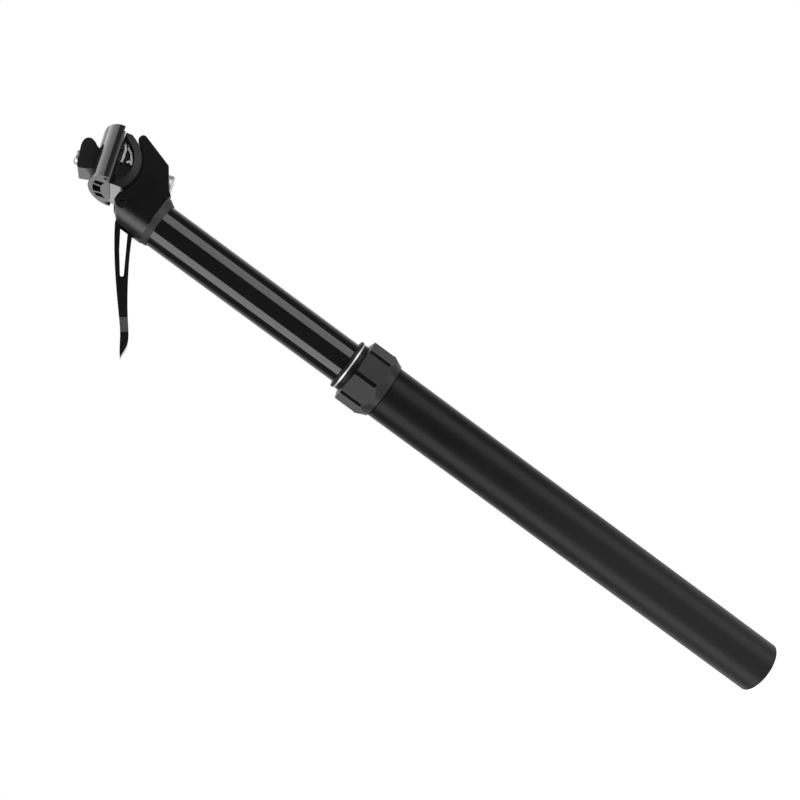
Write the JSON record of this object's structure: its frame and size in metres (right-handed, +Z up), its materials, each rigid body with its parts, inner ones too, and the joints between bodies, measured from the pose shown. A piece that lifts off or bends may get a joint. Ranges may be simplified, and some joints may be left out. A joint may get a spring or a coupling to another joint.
{
  "type": "dropper seatpost",
  "caption": "Telescopic bicycle seatpost with a gas cartridge, a release lever under the saddle and a tilting saddle clamp on one bolt.",
  "frame": {"origin": "centre of the outer tube's lower end", "axes": "+Z up the post, +X to the bike's front, +Y to the bike's left"},
  "size_m": [0.1032, 0.053, 0.4791],
  "materials": {
    "satin_black": "satin black anodised aluminium",
    "gloss_black": "gloss black hard-anodised",
    "soft_black": "fine satin black",
    "bright_steel": "bright steel",
    "ring_silver": "polished",
    "rubber": "smooth black rubber",
    "bush": "glide plastic",
    "felt": "oiled felt",
    "raw_alloy": "machined",
    "steel": "turned steel",
    "brass": "machined",
    "seal": "seal rubber"
  },
  "bodies": {
    "outer_post": {"outer_tube": "satin_black", "seal_collar": "soft_black", "wiper_seal": "rubber", "wiper_ring": "ring_silver", "oil_ring": "felt", "upper_bushing": "bush", "bottom_plug": "raw_alloy", "plug_circlip": "steel", "rod_clip": "steel", "bottom_bumper": "rubber", "piston_rod": "bright_steel", "piston": "raw_alloy", "piston_seal": "seal"},
    "inner_post": {"stanchion": "gloss_black", "crown": "soft_black", "lower_bushing": "bush", "guide_keys": "brass", "cartridge_nut": "raw_alloy", "cartridge_tube": "steel", "pressure_tube": "steel", "rod_guide": "raw_alloy", "rod_seal": "seal", "valve_body": "raw_alloy", "valve_ring_low": "seal", "valve_ring_high": "seal", "pivot_screw": "steel", "lever_washers": "steel"},
    "lever": {"lever": "soft_black"},
    "valve_pin": {"valve_pin": "bright_steel"},
    "clamp": {"lower_clamp": "soft_black", "tilt_washer": "steel"},
    "clamp_bolt": {"clamp_bolt": "bright_steel"},
    "upper_clamp": {"upper_clamp": "soft_black"}
  },
  "joints": [
    {"name": "post_travel", "type": "slide", "parent": "outer_post", "child": "inner_post", "axis": [0, 0, 1], "range_m": [-0.12, 0]},
    {"name": "lever_pull", "type": "hinge", "parent": "inner_post", "child": "lever", "pos_m": [0.0047, 0, 0.4421], "axis": [0, -1, 0], "range_deg": [0, 12], "stiffness_Nm_per_rad": 0.4, "springref_deg": -5.73},
    {"name": "valve_pin_travel", "type": "slide", "parent": "inner_post", "child": "valve_pin", "axis": [0, 0, -1], "range_m": [0, 0.000984]},
    {"name": "clamp_tilt", "type": "hinge", "parent": "inner_post", "child": "clamp", "pos_m": [-0.0088, 0, 0.4624], "axis": [0, 1, 0], "range_deg": [-2, 12]},
    {"name": "clamp_bolt_turn", "type": "hinge", "parent": "clamp", "child": "clamp_bolt", "pos_m": [-0.0088, 0, 0.4624], "axis": [0.3338, 0, 0.9426], "range_deg": [0, 720]},
    {"name": "upper_clamp_lift", "type": "slide", "parent": "clamp", "child": "upper_clamp", "axis": [0.3338, 0, 0.9426], "range_m": [0, 0.0025]}
  ],
  "couplings": [
    {"joint": "lever_pull", "follows": "valve_pin_travel", "rad_per_m": 212.77},
    {"joint": "clamp_bolt_turn", "follows": "upper_clamp_lift", "rad_per_m": 5026.5}
  ]
}
